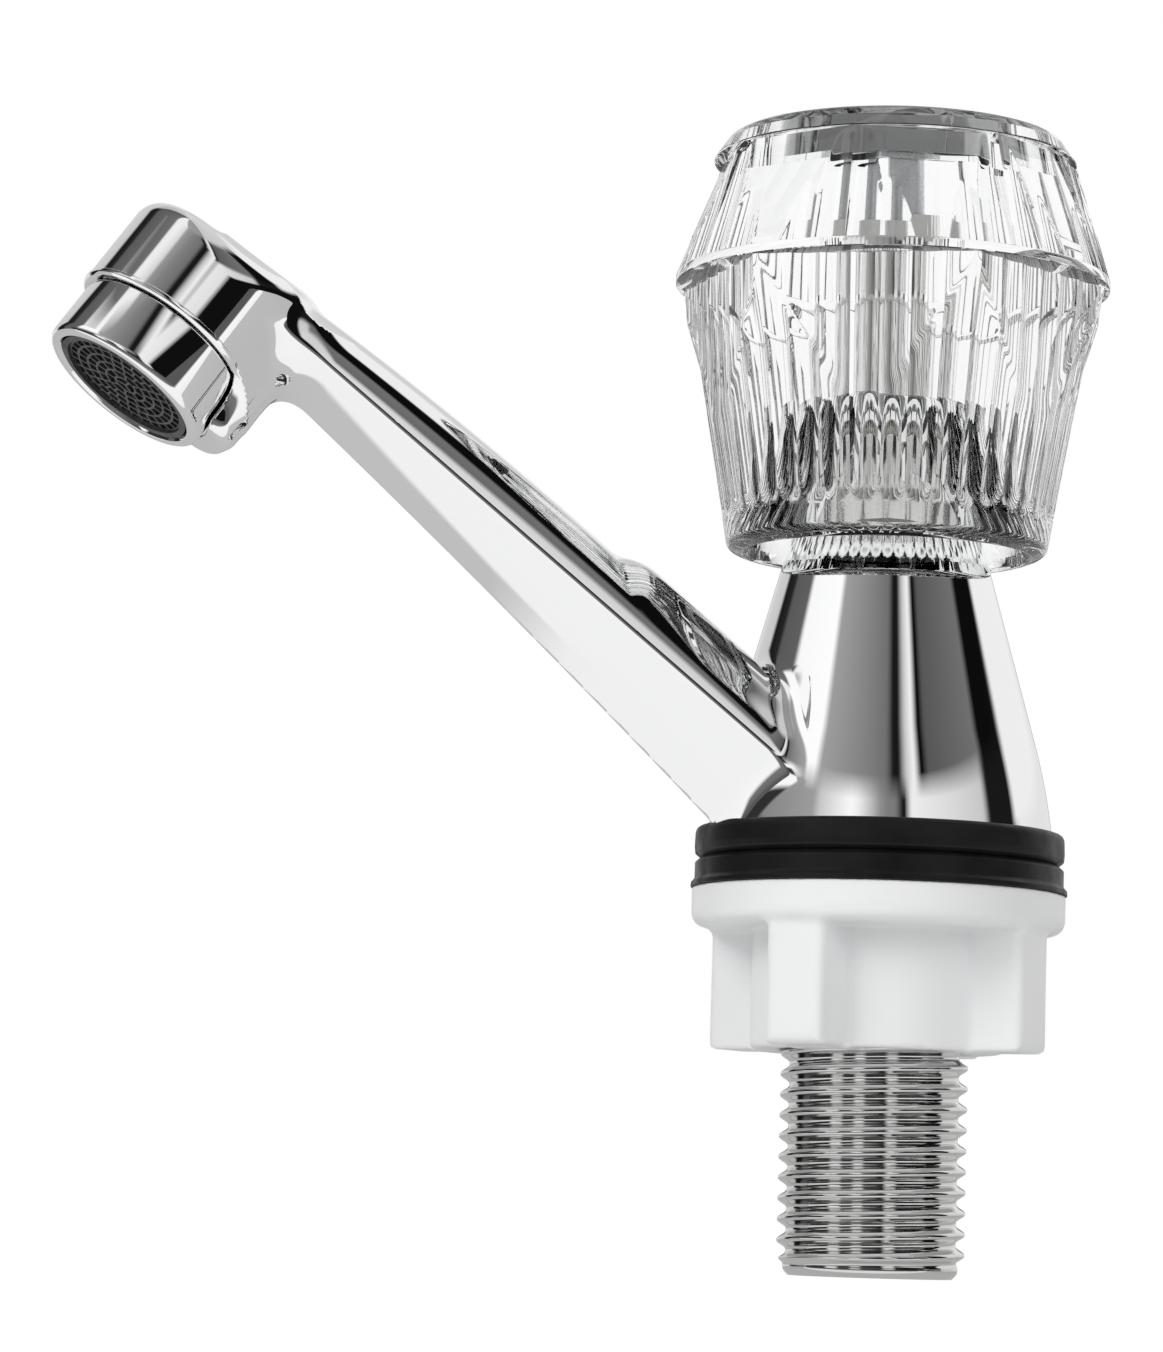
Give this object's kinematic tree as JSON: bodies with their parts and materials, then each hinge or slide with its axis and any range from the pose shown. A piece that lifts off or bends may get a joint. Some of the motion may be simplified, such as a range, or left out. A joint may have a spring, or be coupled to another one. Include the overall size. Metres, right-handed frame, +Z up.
{
  "type": "basin tap",
  "caption": "Pillar basin tap with conical chromed body, rising straight spout, clear fluted knob, gaskets, threaded tail and lugged lock nut.",
  "frame": {"origin": "on the axis of the threaded tail, at the deck plane between the two gaskets", "axes": "+Z up along the tail and the knob's axis; the spout points along -Y and rises towards its outlet"},
  "size_m": [0.0496, 0.1238, 0.129],
  "materials": {
    "polished_chrome": "mirror",
    "plated_tail": "plated, as cut",
    "brass": "turned",
    "nickel": "nickel plated brass",
    "black_rubber": "satin",
    "white_plastic": "satin moulded",
    "fibre": "matt",
    "clear_acrylic": "polished clear",
    "steel": "plated",
    "black_plastic": "moulded"
  },
  "bodies": {
    "base": {"body_casting": "polished_chrome", "threaded_tail": "plated_tail", "tail_seal_ring": "black_rubber", "upper_gasket": "black_rubber", "valve_seat": "brass", "headwork_body": "nickel", "headwork_washer": "fibre", "aerator_housing": "polished_chrome", "aerator_washer": "black_rubber", "aerator_insert": "black_plastic", "aerator_outlet_grid": "black_plastic", "aerator_lower_screen": "steel", "aerator_upper_screen": "steel", "aerator_jet_plate": "black_plastic"},
    "valve": {"jumper_valve": "brass", "jumper_washer": "black_rubber", "jumper_nut": "brass"},
    "control": {"spindle": "nickel", "spindle_seal_rings": "black_rubber", "knob": "clear_acrylic", "knob_insert": "nickel", "knob_screw_washer": "steel", "knob_screw": "steel", "knob_cap": "polished_chrome"},
    "seal": {"lower_gasket": "black_rubber"},
    "nut": {"lock_nut": "white_plastic"}
  },
  "joints": [
    {"name": "valve_lift", "type": "slide", "parent": "base", "child": "valve", "axis": [0, 0, 1], "range_m": [0, 0.00375]},
    {"name": "knob_turn", "type": "hinge", "parent": "valve", "child": "control", "pos_m": [0, 0, 0.05], "axis": [0, 0, 1], "range_deg": [0, 540]},
    {"name": "gasket_slide", "type": "slide", "parent": "base", "child": "seal", "axis": [0, 0, -1], "range_m": [0, 0.02309]},
    {"name": "nut_turn", "type": "hinge", "parent": "seal", "child": "nut", "pos_m": [0, 0, -0.01], "axis": [0, 0, -1], "range_deg": [0, 3600]}
  ],
  "couplings": [
    {"joint": "valve_lift", "follows": "knob_turn", "m_per_rad": 0.00039789},
    {"joint": "gasket_slide", "follows": "nut_turn", "m_per_rad": 0.00036749}
  ]
}
